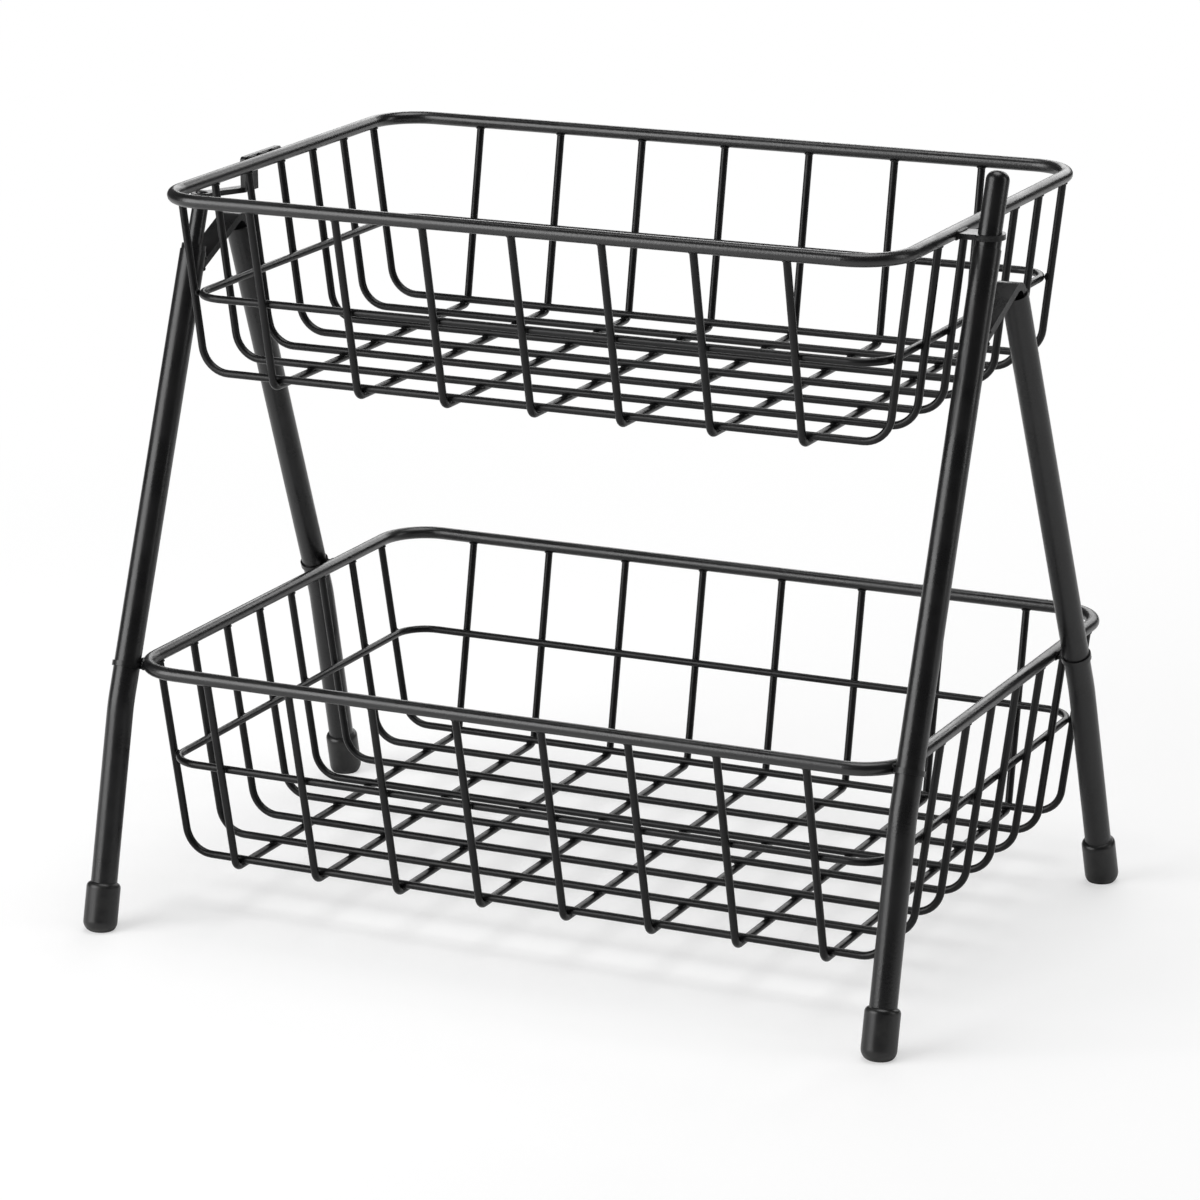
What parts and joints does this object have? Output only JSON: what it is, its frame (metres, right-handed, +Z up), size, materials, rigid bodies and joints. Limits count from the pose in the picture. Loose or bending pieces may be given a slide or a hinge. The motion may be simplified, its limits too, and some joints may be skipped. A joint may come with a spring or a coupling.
{
  "type": "tiered wire basket",
  "caption": "Counter-top rack of round wire: a shallow basket held above a larger one by splayed tube legs with rubber foot caps; the upper basket lifts off its leg pegs.",
  "frame": {"origin": "middle of the outline on the floor under the feet", "axes": "+X along the long side to the right, +Y to the back, +Z up"},
  "size_m": [0.4144, 0.2984, 0.355],
  "materials": {
    "powder_coat": "satin black powder coat",
    "foot_rubber": "matte black rubber",
    "bare_steel": "plain drawn steel, hidden in the tubes"
  },
  "bodies": {
    "stand": {"left_front_foot": "foot_rubber", "left_front_lower_leg": "powder_coat", "left_front_rim_tab": "powder_coat", "left_front_upper_leg": "powder_coat", "left_rear_foot": "foot_rubber", "left_rear_lower_leg": "powder_coat", "left_rear_rim_tab": "powder_coat", "left_rear_upper_leg": "powder_coat", "left_tie_strap": "powder_coat", "leg_joint_pins": "bare_steel", "lower_cross_wire_1": "powder_coat", "lower_cross_wire_2": "powder_coat", "lower_cross_wire_3": "powder_coat", "lower_cross_wire_4": "powder_coat", "lower_cross_wire_5": "powder_coat", "lower_cross_wire_6": "powder_coat", "lower_cross_wire_7": "powder_coat", "lower_cross_wire_8": "powder_coat", "lower_long_wire_1": "powder_coat", "lower_long_wire_2": "powder_coat", "lower_long_wire_3": "powder_coat", "lower_long_wire_4": "powder_coat", "lower_long_wire_5": "powder_coat", "lower_long_wire_6": "powder_coat", "lower_long_wire_7": "powder_coat", "lower_long_wire_8": "powder_coat", "lower_mid_ring": "powder_coat", "lower_rim": "powder_coat", "right_front_foot": "foot_rubber", "right_front_lower_leg": "powder_coat", "right_front_rim_tab": "powder_coat", "right_front_upper_leg": "powder_coat", "right_rear_foot": "foot_rubber", "right_rear_lower_leg": "powder_coat", "right_rear_rim_tab": "powder_coat", "right_rear_upper_leg": "powder_coat", "right_tie_strap": "powder_coat"},
    "upper_basket": {"left_hanger": "powder_coat", "left_hanger_peg": "powder_coat", "right_hanger": "powder_coat", "right_hanger_peg": "powder_coat", "upper_cross_wire_1": "powder_coat", "upper_cross_wire_2": "powder_coat", "upper_cross_wire_3": "powder_coat", "upper_cross_wire_4": "powder_coat", "upper_cross_wire_5": "powder_coat", "upper_cross_wire_6": "powder_coat", "upper_cross_wire_7": "powder_coat", "upper_long_wire_1": "powder_coat", "upper_long_wire_2": "powder_coat", "upper_long_wire_3": "powder_coat", "upper_long_wire_4": "powder_coat", "upper_long_wire_5": "powder_coat", "upper_long_wire_6": "powder_coat", "upper_long_wire_7": "powder_coat", "upper_mid_ring": "powder_coat", "upper_rim": "powder_coat"}
  },
  "joints": [
    {"name": "upper_basket_lift", "type": "slide", "parent": "stand", "child": "upper_basket", "axis": [0, 0.3695, 0.9292], "range_m": [0, 0.06]}
  ]
}
